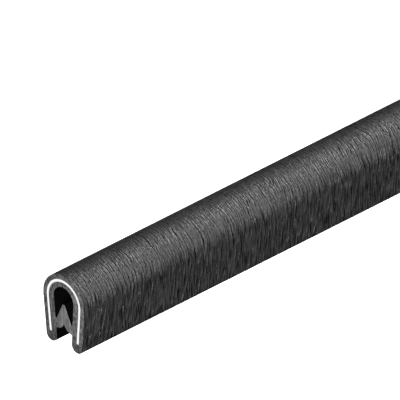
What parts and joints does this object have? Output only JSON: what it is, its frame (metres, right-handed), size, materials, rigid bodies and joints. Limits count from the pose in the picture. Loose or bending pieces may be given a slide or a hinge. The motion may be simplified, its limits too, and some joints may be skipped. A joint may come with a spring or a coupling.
{
  "type": "edge trim seal",
  "caption": "Straight length of push-on edge trim: a black grained PVC channel with an embedded metal clamping strip and inner lips that grip the edge of a sheet.",
  "frame": {"origin": "middle of the length, on the centre line of the section, at the level of the feet", "axes": "+Y along the length, +X across the section, +Z from the feet up to the crown; the mouth opens downwards"},
  "size_m": [0.01, 0.3048, 0.0138],
  "materials": {
    "grained_pvc": "soft black PVC, embossed with a fine leather grain on the outside",
    "bright_steel": "bright sheared edge"
  },
  "bodies": {
    "root": {"trim_profile": "grained_pvc", "clamping_strip": "bright_steel"}
  },
  "joints": []
}
